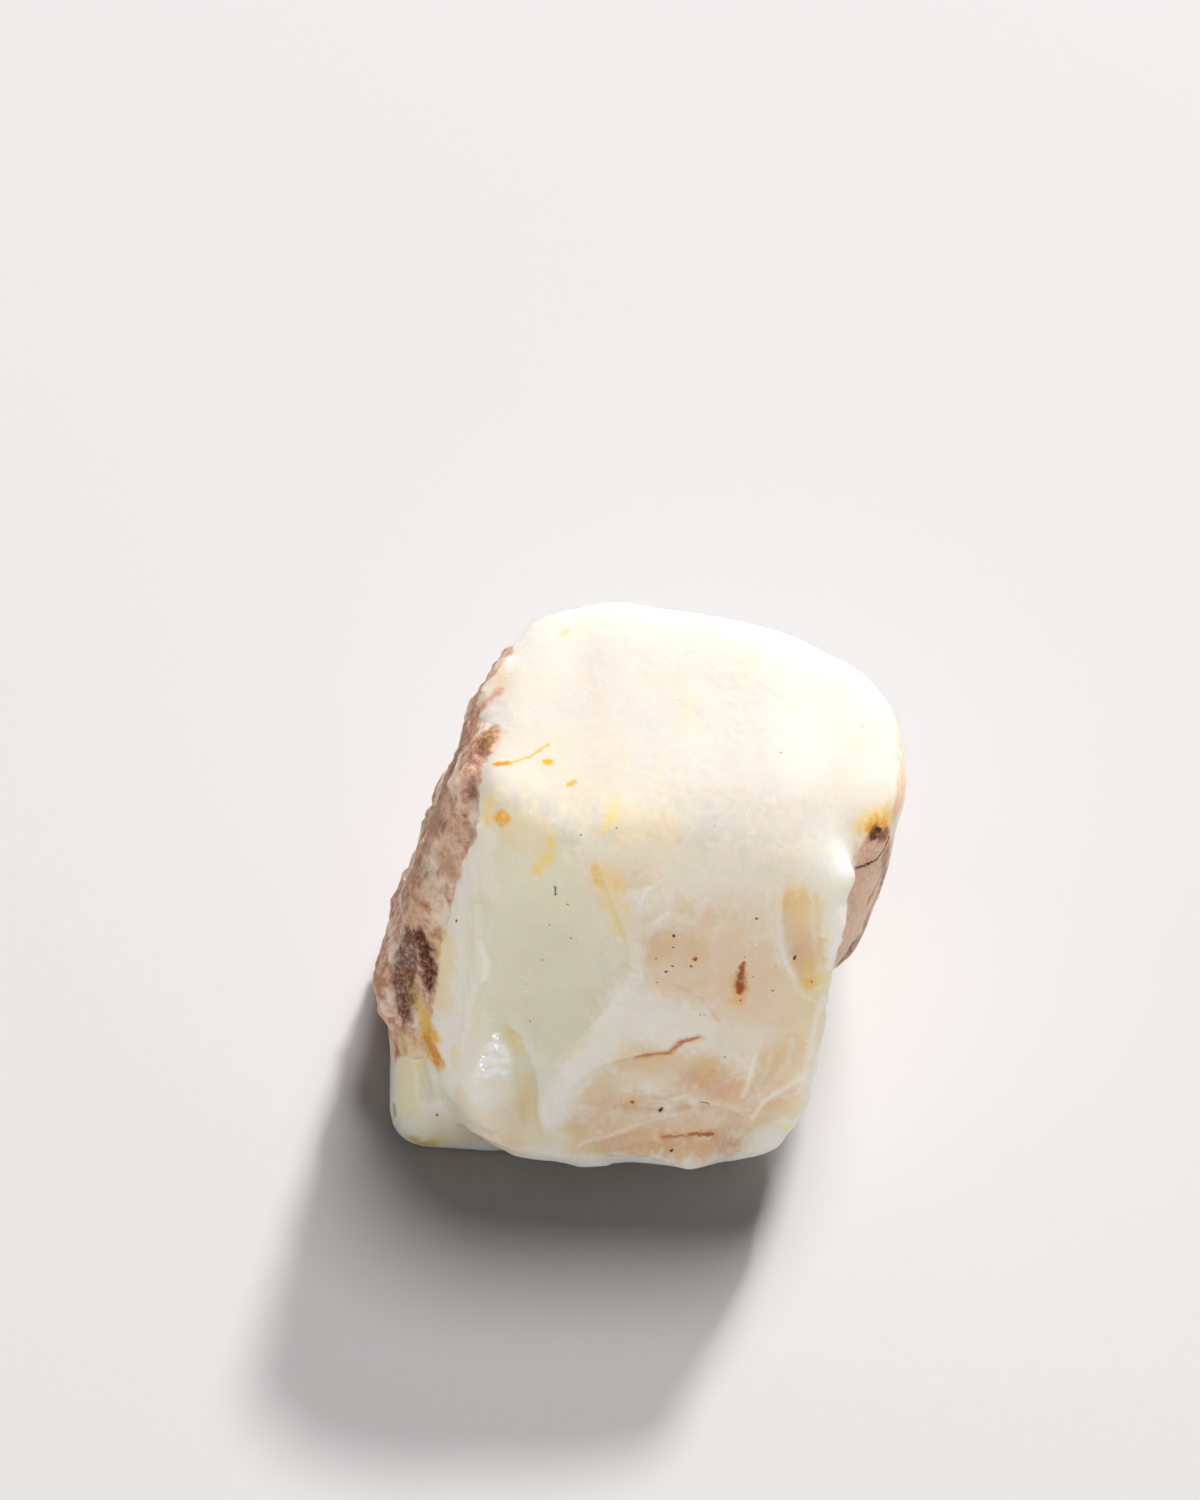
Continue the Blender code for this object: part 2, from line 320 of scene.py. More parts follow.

# Stains and clouds, with painted shade and painted highlights among them, by kind: strength, half width,
# fade, and the pixels that each runs through
PAINT = {
    "green": {
        "front left face": (1.0, 3.0, 2.6, ((520, 870), (500, 950), (545, 1010))),
        "front left face low": (0.9, 1.4, 1.8, ((560, 900), (580, 960), (598, 1005))),
        "green band": (1.0, 0.6, 1.0, ((618, 980), (598, 1004), (582, 1030))),
        "bulge groove": (1.0, 0.5, 0.8, ((516, 1050), (524, 1080), (533, 1112))),
        "middle": (0.4, 1.2, 1.6, ((612, 920), (622, 950))),
    },
    # Tan areas, with painted shade under the bulge and at the foot
    "tan": {
        "front right face": (0.7, 2.4, 3.0, ((700, 960), (745, 1000), (790, 1010))),
        "front right middle": (1.0, 1.3, 1.8, ((650, 1062), (700, 1075), (725, 1090))),
        "right facet": (0.95, 1.1, 1.3, ((785, 1045), (778, 1075))),
        "beige facet": (0.8, 1.0, 1.2, ((598, 1092), (625, 1095), (640, 1110))),
        "low front": (1.0, 0.8, 1.4, ((585, 1140), (640, 1138), (700, 1130), (750, 1122), (785, 1108))),
        "upper hollow": (0.9, 0.8, 0.9, ((660, 945), (680, 945), (700, 958))),
        "upper haze": (0.6, 0.5, 1.2, ((625, 876), (640, 874))),
        "flake bowl": (0.95, 0.8, 0.9, ((800, 905), (808, 960))),
        "spot wedge": (0.6, 0.4, 0.8, ((742, 958), (762, 950))),
        # Painted shade under the bulge
        "bulge low": (0.6, 1.3, 1.6, ((465, 1112), (520, 1132))),
        "crest left": (0.5, 0.6, 1.1, ((512, 832), (536, 836))),
        # Painted shade at the foot, under the lobe
        "foot": (0.8, 0.8, 1.0, ((455, 1140), (505, 1146))),
        "foot left": (0.4, 0.8, 1.2, ((405, 1125), (435, 1130))),
        "line shade": (0.7, 0.3, 0.7, ((630, 1064), (668, 1062), (690, 1050))),
        "upper rind": (0.6, 0.3, 0.7, ((512, 650), (500, 680), (482, 704))),
        "shoulder edge": (0.9, 0.3, 0.7, ((898, 735), (904, 765), (903, 795), (896, 812))),
        "left face strand": (0.4, 0.2, 0.5, ((472, 860), (476, 890))),
    },
    # Milky white: the opal's own whiter patches, and painted highlight on the crest, the right ridge, the
    # right band, the flake rim, the lip and the bright patch
    "milk_and_highlight": {
        "bright patch": (1.0, 1.3, 1.6, ((625, 1015), (650, 1022), (685, 1030))),
        "white ridge": (1.0, 0.6, 0.9, ((622, 1000), (603, 1045), (583, 1066), (552, 1108))),
        "bulge": (0.8, 0.9, 1.2, ((495, 1060), (490, 1090))),
        "left strip": (1.0, 0.7, 0.8, ((462, 880), (458, 960), (450, 1020), (446, 1085))),
        "left crest": (0.8, 0.8, 1.0, ((482, 835), (484, 880))),
        "crest": (0.7, 0.4, 2.0, ((590, 848), (700, 862), (800, 855), (835, 866))),
        "crest high": (0.3, 0.4, 2.0, ((575, 824), (700, 834), (790, 836), (845, 846))),
        "lilac patch": (0.4, 0.8, 1.0, ((726, 1030), (768, 1038))),
        "pink patch": (0.35, 0.5, 0.9, ((640, 1082), (678, 1086))),
        "low facet": (0.2, 0.5, 0.8, ((668, 1112), (742, 1114))),
        "right band": (0.6, 0.2, 0.7, ((820, 1005), (812, 1040), (808, 1070), (800, 1105))),
        "flake rim": (0.5, 0.1, 0.7, ((779, 905), (780, 945), (792, 978), (812, 995))),
        "right ridge": (1.0, 0.4, 0.6, ((822, 840), (848, 868), (850, 888), (838, 915), (834, 960))),
        "lip": (0.7, 0.2, 0.4, ((535, 1158), (600, 1160), (650, 1160), (690, 1167), (760, 1155))),
        "upper rind white": (0.5, 0.4, 0.6, ((507, 662),)),
    },
    "yellow": {
        "olive streak": (0.8, 0.15, 0.45, ((489, 800), (488, 822))),
        "crest streak": (0.9, 0.12, 0.5, ((554, 842), (546, 859), (538, 871))),
        "top right streak": (0.75, 0.08, 0.7, ((615, 805), (606, 831))),
        "top right patch": (0.30, 0.4, 1.2, ((622, 828), (655, 822), (664, 832))),
        "top haze": (0.16, 1.2, 3.0, ((540, 770), (610, 790), (640, 810))),
        "wedge": (0.60, 0.45, 1.0, ((602, 872), (609, 890), (614, 904))),
        "wedge foot": (0.5, 0.25, 0.7, ((614, 905), (619, 930))),
        "bowl top": (0.45, 0.40, 1.2, ((792, 898), (802, 908))),
        "bowl foot": (0.5, 0.25, 1.1, ((812, 970), (816, 986))),
        "left yellow zone": (0.5, 0.9, 1.2, ((408, 1055), (402, 1096))),
        "left strand": (0.8, 0.30, 0.6, ((410, 985), (424, 1015), (428, 1045))),
        "left edge haze": (0.5, 0.5, 0.8, ((446, 940), (442, 1000))),
        "groove top": (0.6, 0.2, 0.5, ((514, 1034), (516, 1050))),
        "groove low": (0.3, 0.4, 0.7, ((524, 1080), (532, 1110))),
        "foot patch": (0.6, 0.25, 0.6, ((410, 1138), (434, 1144))),
        "right foot edge": (0.7, 0.2, 0.5, ((790, 1127),)),
        "small olive": (0.5, 0.2, 0.4, ((455, 1052), (454, 1066))),
        "low olive": (0.5, 0.15, 0.5, ((704, 1065), (706, 1078))),
        "top faint": (0.25, 0.2, 0.8, ((695, 703),)),
        "recess top": (0.9, 0.5, 0.8, ((866, 822), (884, 822))),
    },
    "ochre": {
        "strong spot": (1.0, 0.28, 0.5, ((501, 818),)),
        "wedge point": (0.35, 0.08, 0.5, ((596, 866), (600, 884))),
        "left end": (1.0, 0.55, 0.8, ((432, 1040), (436, 1056))),
        "left strand": (0.4, 0.2, 0.5, ((424, 1010), (427, 1040))),
        "bowl foot": (0.35, 0.10, 0.6, ((812, 982),)),
        "foot patch": (0.7, 0.18, 0.45, ((413, 1140), (430, 1144))),
        "recess top": (1.0, 0.30, 0.6, ((872, 826), (884, 824))),
        "recess edge": (0.8, 0.18, 0.45, ((889, 842), (887, 858))),
        "left tip": (0.6, 0.25, 0.4, ((495, 731), (488, 742))),
        "orange spots": (0.6, 0.12, 0.4, ((632, 1102),)),
        "brown line": (0.5, 0.08, 0.40, ((636, 1058), (655, 1055), (669, 1054), (682, 1043), (700, 1038))),
        "spot halo": (0.5, 0.15, 0.7, ((740, 975), (738, 1000))),
        "bottom patch": (0.2, 0.2, 1.0, ((646, 1148), (703, 1148))),
    },
    # Brick: the recess's host rock and brownish areas, and painted shade at the bottom of the front, at the
    # foot and in the middle dent
    "brick": {
        "recess wall": (1.0, 1.5, 0.9, ((872, 852), (868, 885), (856, 930))),
        "bowl low": (0.4, 0.5, 0.8, ((806, 950), (816, 976))),
        "recess side": (1.0, 1.3, 1.4, ((885, 862), (880, 890), (872, 914), (862, 934), (850, 950))),
        "recess low": (1.0, 0.9, 0.7, ((856, 925), (842, 955))),
        # Painted shade: darker at the bottom of the front
        "bottom tan": (0.9, 0.40, 1.3, ((612, 1144), (690, 1148), (730, 1146))),
        "low front shade": (0.35, 0.8, 1.6, ((600, 1120), (690, 1120), (770, 1095))),
        "foot shade": (0.2, 0.6, 0.8, ((462, 1142), (505, 1146))),
        "foot brown": (0.5, 0.25, 0.5, ((412, 1139), (434, 1143))),
        "middle shade": (0.55, 0.5, 1.2, ((696, 1078), (730, 1086))),
        "shoulder edge": (0.8, 0.25, 0.8, ((900, 760), (903, 785), (896, 808))),
        "left beige": (0.6, 0.8, 1.0, ((425, 895), (408, 915))),
        "left island": (0.6, 0.8, 0.8, ((455, 830), (448, 862))),
        "left column": (0.8, 0.5, 0.8, ((436, 815), (428, 845))),
        "left ochre zone": (0.5, 0.4, 0.8, ((432, 1035), (436, 1060))),
    },
    "rust": {
        "left spot": (0.9, 0.20, 0.40, ((427, 908),)),
        "left orange foot": (0.8, 0.20, 0.40, ((398, 1048), (395, 1058))),
        "left ochre zone": (0.5, 0.3, 0.6, ((430, 1044), (436, 1056))),
        "upper left line": (0.6, 0.08, 0.35, ((500, 690), (486, 704), (472, 722))),
        "brown line": (0.45, 0.06, 0.3, ((636, 1057), (655, 1054), (669, 1053), (682, 1042), (698, 1037))),
        "bottom streak": (0.45, 0.08, 0.35, ((662, 1137), (690, 1135), (714, 1134))),
        "recess stain": (0.9, 0.25, 0.5, ((870, 834), (886, 834))),
        "recess spot": (0.9, 0.25, 0.45, ((870, 898),)),
        "recess rim": (0.5, 0.30, 1.2, ((886, 852), (882, 884), (874, 912), (862, 936), (848, 955))),
        "low hairline": (0.20, 0.04, 0.2, (
            (616, 1106), (650, 1110), (690, 1106), (722, 1112), (752, 1122),
        )),
        "middle hairline": (0.18, 0.04, 0.2, ((640, 1096), (668, 1098), (700, 1086), (716, 1070))),
        "upper hairline": (0.15, 0.04, 0.2, ((676, 985), (704, 1000), (718, 1020))),
        "foot patch": (0.5, 0.12, 0.35, ((416, 1141), (428, 1145))),
    },
    "oxblood": {
        "left purple patch": (0.85, 0.7, 0.9, ((408, 940), (405, 965), (402, 1004))),
        "left purple band": (0.35, 0.5, 0.9, ((462, 745), (435, 815), (415, 875))),
        "left dark red": (1.0, 0.50, 0.55, ((421, 936), (426, 952))),
        "left dark red low": (1.0, 0.55, 0.50, ((427, 962), (428, 980))),
        "left dark red foot": (0.9, 0.30, 0.50, ((405, 998), (403, 1012))),
        "left tip": (0.7, 0.3, 0.45, ((494, 731), (484, 748))),
        "recess low tip": (1.0, 0.25, 0.45, ((843, 959), (848, 952), (855, 942))),
        "recess rim": (0.55, 0.15, 1.0, ((886, 852), (882, 884), (874, 912), (862, 936), (850, 952))),
        "recess stain": (0.7, 0.20, 0.4, ((872, 832), (884, 836))),
        "red spot": (0.6, 0.08, 0.28, ((742, 966), (741, 972), (740, 984), (740, 990))),
    },
    # Painted highlights: white glints on the bulge, and bright lines and sparkles on the breaks
    "glint": {
        "face glint one": (1.0, 0.14, 0.24, ((490, 1046), (497, 1044), (506, 1054))),
        "face glint two": (1.0, 0.14, 0.24, ((481, 1064), (492, 1060), (506, 1060))),
        "face glint three": (1.0, 0.12, 0.24, ((484, 1076), (496, 1070), (505, 1072))),
        "left face line": (0.3, 0.05, 0.2, ((480, 943), (487, 962), (485, 978))),
        "right face upper line": (0.3, 0.03, 0.2, ((757, 1053), (752, 1071), (744, 1096))),
        "right face lower line": (0.4, 0.03, 0.2, ((803, 1077), (780, 1091), (764, 1101), (753, 1117))),
        "low middle line": (0.3, 0.03, 0.2, ((578, 1146), (612, 1135), (639, 1125), (675, 1115))),
        "sparkle one": (0.5, 0.04, 0.2, ((640, 904), (646, 890), (655, 886))),
        "sparkle two": (0.4, 0.04, 0.2, ((655, 924), (669, 913))),
    },
    "gloss": {
        "bulge": (1.0, 0.8, 0.8, ((498, 1046), (488, 1075))),
        "upper sparkle": (1.0, 0.3, 0.6, ((641, 904), (655, 887))),
        "crest sparkle": (0.8, 0.4, 0.8, ((745, 855), (790, 868))),
        "bowl foot": (0.8, 0.2, 0.5, ((814, 988),)),
        "low glint": (0.8, 0.2, 0.5, ((580, 1117),)),
    },
    "dark": {
        # Painted shade in the notch and the fold of the left rind, which are dents
        "left notch": (0.4, 0.10, 0.30, ((473, 780), (472, 797))),
        "left fold": (0.4, 0.10, 0.30, ((465, 817), (471, 835))),
        "left spot": (0.5, 0.15, 0.40, ((440, 823),)),
    },
}

# Thin marks, by kind: strength, half width, and the pixels that each runs through
STROKES = {
    "ochre": {
        "top dash": (1.0, 0.17, ((495, 764), (510, 763))),
        "top thread": (0.8, 0.09, ((510, 763), (530, 757), (543, 748), (549, 744))),
        "top dot": (1.0, 0.23, ((547, 762), (549, 762))),
        "second top dot": (0.9, 0.18, ((570, 784), (574, 782))),
        "top left smudge": (0.4, 0.16, ((562, 634), (570, 630))),
    },
    "rust": {
        "red spot high": (0.9, 0.15, ((743, 963), (742, 970), (740, 978))),
        "red spot low": (1.0, 0.20, ((739, 985), (740, 991))),
        "brown line": (0.45, 0.14, ((636, 1057), (655, 1054), (669, 1053), (682, 1042))),
        "brown line end": (0.6, 0.14, ((682, 1042), (697, 1038))),
        "bottom streak": (0.6, 0.09, ((662, 1137), (690, 1135))),
        "bottom streak end": (0.9, 0.12, ((690, 1134), (712, 1134))),
        "top dash tip": (0.5, 0.11, ((495, 765), (507, 763))),
    },
    "dark": {
        "crack": (1.0, 0.10, ((856, 868), (868, 864), (878, 858), (885, 847), (889, 837))),
        "stain pit one": (1.0, 0.16, ((877, 829), (880, 830))),
        "stain pit two": (0.9, 0.15, ((872, 838), (875, 837))),
        "grey dash": (0.7, 0.06, ((700, 1102), (709, 1104))),
        "edge spot": (0.5, 0.20, ((394, 1106), (395, 1114))),
        "low recess spot": (0.8, 0.10, ((850, 951), (852, 951))),
        "leaf speck": (0.9, 0.07, ((555, 887), (555, 895))),
    },
}

# Tiny specks, by kind: pixel and radius
SPECKS = {
    "dark": (
        (568, 905, 0.06), (571, 938, 0.06), (550, 925, 0.06), (456, 921, 0.10), (542, 960, 0.05),
        (530, 1022, 0.05), (602, 953, 0.05), (525, 984, 0.05), (674, 936, 0.10), (666, 972, 0.09),
        (657, 983, 0.06), (757, 919, 0.06), (795, 958, 0.11), (661, 1110, 0.14), (617, 828, 0.06),
        (581, 835, 0.06), (671, 1150, 0.11), (724, 1057, 0.06), (673, 947, 0.05), (656, 958, 0.05),
    ),
    "rust": (
        (695, 959, 0.14), (691, 966, 0.09), (753, 977, 0.07), (773, 990, 0.06), (700, 1015, 0.07),
        (705, 1015, 0.06), (633, 1102, 0.12), (621, 1101, 0.06), (781, 753, 0.07), (437, 1115, 0.10),
        (741, 968, 0.13), (739, 988, 0.15), (812, 982, 0.08), (672, 966, 0.07), (740, 1000, 0.07),
        (745, 957, 0.06), (736, 972, 0.06), (746, 982, 0.07), (733, 987, 0.06), (741, 1003, 0.06),
        (757, 919, 0.10), (745, 950, 0.06), (776, 967, 0.05),
    ),
}

# How the thin marks' edges wander: spacing and reach
MARK_UNEVENNESS = (0.28, 0.34)

# Noises of the material: spacing, detail and roughness
NOISES = {
    "clouds": (6.0, 3.0, 0.5),
    "uneven tone": (1.2, 3.0, 0.5),
    "tiny speckle": (0.16, 2.0, 0.5),
    "rock patches": (3.2, 3.0, 0.6),
    "rock grains": (0.7, 3.0, 0.65),
    "rock edge": (0.8, 3.0, 0.5),
    "stain speckle": (0.3, 3.0, 0.5),
    "gloss": (0.25, 2.0, 0.5),
    "opal grain": (0.5, 4.0, 0.5),
    "rock relief": (0.7, 5.0, 0.65),
}

# How values are stretched: the range that is taken, and what its two ends become
SPREADS = {
    "clouds": (0.40, 0.65, 0.0, 1.0),
    "uneven tone": (0.25, 0.75, 0.75, 1.1),
    "tiny speckle": (0.5, 0.75, 0.0, 0.35),
    "rock patches": (0.48, 0.62, 0.0, 1.0),
    "rock grains": (0.35, 0.65, 0.0, 1.0),
    "rock edge": (0.75, 1.0, 0.0, 1.0),
    "stain speckle": (0.3, 0.6, 0.55, 1.0),
    "gloss": (0.3, 0.7, 0.42, 0.58),
    "light inside": (0.0, 1.0, 1.0, 0.1),
}

# Tiny dots: spacing, radius and the share of the grains that has one
RUST_DOTS = (1.2, 0.075, 0.3)
RUST_DOT_STRENGTH = 0.55
# The glint dots are painted highlights: white specks in the colour
GLINT_DOTS = (0.5, 0.06, 0.2)

# Bumps: strength and depth
OPAL_BUMP = (0.35, 0.15)
ROCK_BUMP = (0.8, 0.5)
GLINT_BUMP = (0.12, 0.1)
GLINT_SPACING = 0.22

# Where the edges of specks and strokes end and start, as shares of their radius or half width
SPECK_EDGE = (1.5, 0.6)
STROKE_EDGE = (1.7, 0.5)

# Gloss, and how deep light goes into the stone: in metres, and the shares for red, green and blue
ROCK_EDGE_ROUGHNESS = 0.8
GLOSS_PULL = 0.3
ROCK_DULLNESS = 0.4
STONE_SPECULAR = 0.3
FLOOR_SPECULAR = 0.2
LIGHT_DEPTH = 0.010
LIGHT_DEPTH_BY_COLOUR = (1.0, 0.8, 0.55)

# Keeps a length of nothing from being divided by
TINY = 1e-9

# Tones of the material, as linear colours
TONES = {
    "cream": (0.80, 0.745, 0.64, 1.0),
    # The top's darker tone: painted shade
    "painted_top_shade": (0.61, 0.588, 0.545, 1.0),
    "milk_and_highlight": (0.83, 0.80, 0.73, 1.0),
    "green": (0.75, 0.74, 0.60, 1.0),
    "tan": (0.77, 0.61, 0.415, 1.0),
    "yellow": (0.84, 0.65, 0.24, 1.0),
    "ochre": (0.82, 0.42, 0.025, 1.0),
    "brick": (0.70, 0.45, 0.30, 1.0),
    "oxblood": (0.10, 0.02, 0.005, 1.0),
    "rust": (0.46, 0.10, 0.015, 1.0),
    "dark": (0.05, 0.035, 0.03, 1.0),
    # Painted highlight
    "glint": (0.98, 0.98, 0.98, 1.0),
    "rock brown": (0.82, 0.54, 0.39, 1.0),
    "rock dark": (0.49, 0.24, 0.165, 1.0),
    "rock pale": (0.90, 0.73, 0.59, 1.0),
}


def facing(azimuth, elevation):
    """Unit vector that faces the given way."""
    around = math.radians(azimuth)
    up = math.radians(elevation)
    return np.array([math.sin(around) * math.cos(up), -math.cos(around) * math.cos(up), math.sin(up)])


TO_CAMERA = facing(0, CAMERA_ELEVATION)
UP_IN_PHOTO = facing(180, 90 - CAMERA_ELEVATION)
CAMERA_PLACE = CAMERA_AIM + TO_CAMERA * CAMERA_DISTANCE
LENS_PIXELS = LENS / SENSOR * PHOTO_HEIGHT


# The stone's shape

def rounded_max(a, b, rounding):
    """The larger of two distances, with the crease between them rounded."""
    overlap = np.maximum(rounding - np.abs(a - b), 0.0) / rounding
    return np.maximum(a, b) + overlap * overlap * rounding * ROUNDING_FILL


def block_distance(points, faces):
    """Distance outside a block bounded by flat break faces, negative inside it."""
    distance = None
    for azimuth, elevation, reach, rounding in faces.values():
        beyond = (points - CORE) @ facing(azimuth, elevation) - reach
        distance = beyond if distance is None else rounded_max(distance, beyond, rounding)
    return distance


def stone_distance(points):
    """Distance outside the whole stone: its blocks grown together, with the scars broken out of them."""
    distance = None
    for faces in BLOCKS:
        block = block_distance(points, faces)
        distance = block if distance is None else -rounded_max(-distance, -block, FOLD_ROUNDING)
    for place, azimuth, elevation, radius, depth, rounding in SCARS.values():
        centre = np.array(place) + facing(azimuth, elevation) * (radius - depth)
        hollow = radius - np.linalg.norm(points - centre, axis=1)
        distance = rounded_max(distance, hollow, rounding)
    return distance


def reach_surface(directions):
    """Distance from the core to the stone's surface along each direction."""
    reach = np.full(len(directions), FIRST_REACH)
    for _ in range(STEPS_TO_SURFACE):
        here = stone_distance(CORE + directions * reach[:, None])
        beyond = stone_distance(CORE + directions * (reach + SLOPE_PROBE)[:, None])
        slope = np.clip((beyond - here) / SLOPE_PROBE, *STEEPEST_AND_FLATTEST)
        reach = reach - np.clip(here / slope, -LONGEST_STEP, LONGEST_STEP)
    return reach


def depth_in_skin(points, cuts):
    """How far each point lies beyond every cut that bounds a skin."""
    depths = [(points - CORE) @ facing(azimuth, elevation) - reach for azimuth, elevation, reach in cuts]
    return np.minimum.reduce(depths)


def skin_cover(points):
    """1 where the surface is host rock, 0 where it is opal."""
    depth = np.maximum.reduce([depth_in_skin(points, cuts) for cuts in SKINS])
    return np.clip(depth / SKIN_EDGE, 0.0, 1.0)


def lumps(points, spacing):
    """Smooth lumps between -1 and 1, one every spacing or so."""
    return np.array([noise.noise(Vector(point / spacing)) for point in points])


def relief(points):
    """Height of the lumps and waves that the solid has as well, and of the step under the crack."""
    cover = skin_cover(points)
    rock = SKIN_LUMP_HEIGHT * lumps(points, SKIN_LUMP_SPACING)
    rock += SKIN_PIT_HEIGHT * lumps(points, SKIN_PIT_SPACING)
    rock *= np.where(points[:, 0] > 0.0, RIGHT_SKIN_CALM, 1.0)
    opal = OPAL_WAVE_HEIGHT * lumps(points, OPAL_WAVE_SPACING)
    step = CRACK_STEP * np.clip(depth_in_skin(points, RIGHT_SKIN) / CRACK_WIDTH, 0.0, 1.0)
    height = cover * rock + (1.0 - cover) * opal - step
    return height * np.clip(points[:, 2] / RELIEF_STARTS_ABOVE, 0.0, 1.0)


def facets(points):
    """Height of the small break facets, each tilted its own way, with the edges between them rounded."""
    scatter = np.random.default_rng(FACET_SEED)
    middles = scatter.uniform(-FACET_REACH, FACET_REACH, (FACET_COUNT, 3)) + CORE
    tilts = scatter.normal(0.0, FACET_TILT, (FACET_COUNT, 3))
    tree = KDTree(FACET_COUNT)
    for index, middle in enumerate(middles):
        tree.insert(Vector(middle), index)
    tree.balance()
    found = [tree.find_n(Vector(point), FACETS_THAT_MEET) for point in points]
    indices = np.array([[index for _, index, _ in near] for near in found])
    distances = np.array([[distance for _, _, distance in near] for near in found])
    shares = np.exp(-FACET_SHARPNESS * (distances ** 2 - distances[:, :1] ** 2))
    shares /= shares.sum(axis=1, keepdims=True)
    heights = np.einsum("ijk,ijk->ij", points[:, None] - middles[indices], tilts[indices])
    return (shares * heights).sum(axis=1) * np.interp(points[:, 2], FACET_HEIGHTS, FACET_STRENGTHS)


def surface_normals(points):
    """The way that the plain surface faces at each point."""
    slopes = []
    for axis in np.eye(3) * SLOPE_PROBE:
        slopes.append(stone_distance(points + axis) - stone_distance(points - axis))
    normals = np.stack(slopes, axis=1)
    return normals / np.linalg.norm(normals, axis=1, keepdims=True)


def cube_grid():
    """Directions of a ball's worth of points, and the quads that join them."""
    ticks = np.tan(np.linspace(-1.0, 1.0, QUADS_PER_SIDE + 1) * math.pi / 4.0)
    across, along = np.meshgrid(ticks, ticks, indexing="ij")
    corner = np.arange((QUADS_PER_SIDE + 1) ** 2).reshape(across.shape)
    quad = np.stack([corner[:-1, :-1], corner[1:, :-1], corner[1:, 1:], corner[:-1, 1:]], axis=-1)
    directions = []
    quads = []
    for axis in range(3):
        for side in (-1.0, 1.0):
            face = np.empty(across.shape + (3,))
            face[..., axis] = side
            face[..., (axis + 1) % 3] = across
            face[..., (axis + 2) % 3] = along * side
            quads.append(quad.reshape(-1, 4) + len(directions) * corner.size)
            directions.append(face.reshape(-1, 3))
    directions = np.concatenate(directions)
    directions /= np.linalg.norm(directions, axis=1, keepdims=True)
    directions += TO_CAMERA * FRONT_PULL
    directions /= np.linalg.norm(directions, axis=1, keepdims=True)
    return directions, np.concatenate(quads)


# Places on the stone by the photograph's pixels

class StoneMap:
    """Finds the place on the stone that each pixel of the photograph shows."""

    def __init__(self, points, quads):
        self.tree = BVHTree.FromPolygons([Vector(point) for point in points], quads.tolist())
        self.eye = Vector(CAMERA_PLACE - STAND)

    def place(self, pixel):
        """The point on the stone at a pixel, or the one nearest to it where the pixel just misses."""
        right = (pixel[0] - PHOTO_WIDTH / 2) / LENS_PIXELS
        up = (PHOTO_HEIGHT / 2 - pixel[1]) / LENS_PIXELS
        way = Vector(-TO_CAMERA + UP_IN_PHOTO * up + np.array([right, 0.0, 0.0])).normalized()
        hit = self.tree.ray_cast(self.eye, way)[0]
        if hit is None:
            middle = Vector(CORE)
            hit = self.tree.find_nearest(self.eye + way * (middle - self.eye).dot(way))[0]
        return np.array(hit)

    def path(self, pixels):
        """The points on the stone along a line of pixels."""
        return [self.place(pixel) for pixel in pixels]


def nearest_on_path(points, path):
    """Distance of each point to the path, the way from the path to it, and the path's own way there."""
    closest = np.full(len(points), np.inf)
    away = np.zeros_like(points)
    heading = np.zeros_like(points)
    ends = path[1:] if len(path) > 1 else path
    for start, end in zip(path, ends):
        span = end - start
        share = np.clip((points - start) @ span / max(span @ span, TINY), 0.0, 1.0)
        offset = points - (start + share[:, None] * span)
        distance = np.linalg.norm(offset, axis=1)
        nearer = distance < closest
        closest[nearer] = distance[nearer]
        away[nearer] = offset[nearer]
        heading[nearer] = span / max(np.linalg.norm(span), TINY)
    return closest, away, heading


def fade_out(distance, width, fade):
    """1 within the width, falling smoothly to 0 over the fade."""
    share = np.clip(1.0 - (distance - width) / fade, 0.0, 1.0)
    return share * share * (3.0 - 2.0 * share)


def fine_relief(points, normals, stone_map):
    """Height of the grains, ripples, ridges, ledges and swells that only the fine mesh has."""
    cover = skin_cover(points)
    grains = sum(height * lumps(points, spacing) for height, spacing in ROCK_GRAINS)
    ripples = sum(height * lumps(points, spacing) for height, spacing in OPAL_RIPPLES)
    ripples += STREAK_HEIGHT * lumps(points * STREAK_ALONG, STREAK_SPACING) + facets(points)
    height = cover * grains + (1.0 - cover) * ripples
    for ridge_height, width, pixels in RIDGES.values():
        distance = nearest_on_path(points, stone_map.path(pixels))[0]
        height += ridge_height * np.exp(-(distance / width) ** 2)
    for drop, reach, pixels in LEDGES.values():
        distance, away, heading = nearest_on_path(points, stone_map.path(pixels))
        side = np.einsum("ij,ij->i", away, np.cross(heading, normals))
        raised = np.clip(0.5 - side / LEDGE_EDGE, 0.0, 1.0)
        height += drop * raised * fade_out(distance, 0.0, reach)
    for swell_height, radius, pixel in SWELLS.values():
        distance = np.linalg.norm(points - stone_map.place(pixel), axis=1)
        height += swell_height * np.exp(-(distance / radius) ** 2)
    return height * np.clip(points[:, 2] / RELIEF_STARTS_ABOVE, 0.0, 1.0)


def paint_strength(points, marks, stone_map, ragged):
    """How strongly one kind of paint covers each point."""
    strength = np.zeros(len(points))
    for most, width, fade, pixels in marks.values():
        distance = nearest_on_path(points, stone_map.path(pixels))[0] + ragged * fade
        strength = np.maximum(strength, most * fade_out(distance, width, fade))
    return strength


def trim_resting_face(shell):
    """Cut the underside to one flat face that the stone rests on."""
    everything = shell.verts[:] + shell.edges[:] + shell.faces[:]
    level = (0, 0, REST_TRIM)
    bmesh.ops.bisect_plane(shell, geom=everything, plane_co=level, plane_no=(0, 0, 1), clear_inner=True)
    rim = [edge for edge in shell.edges if edge.is_boundary]
    bmesh.ops.holes_fill(shell, edges=rim)


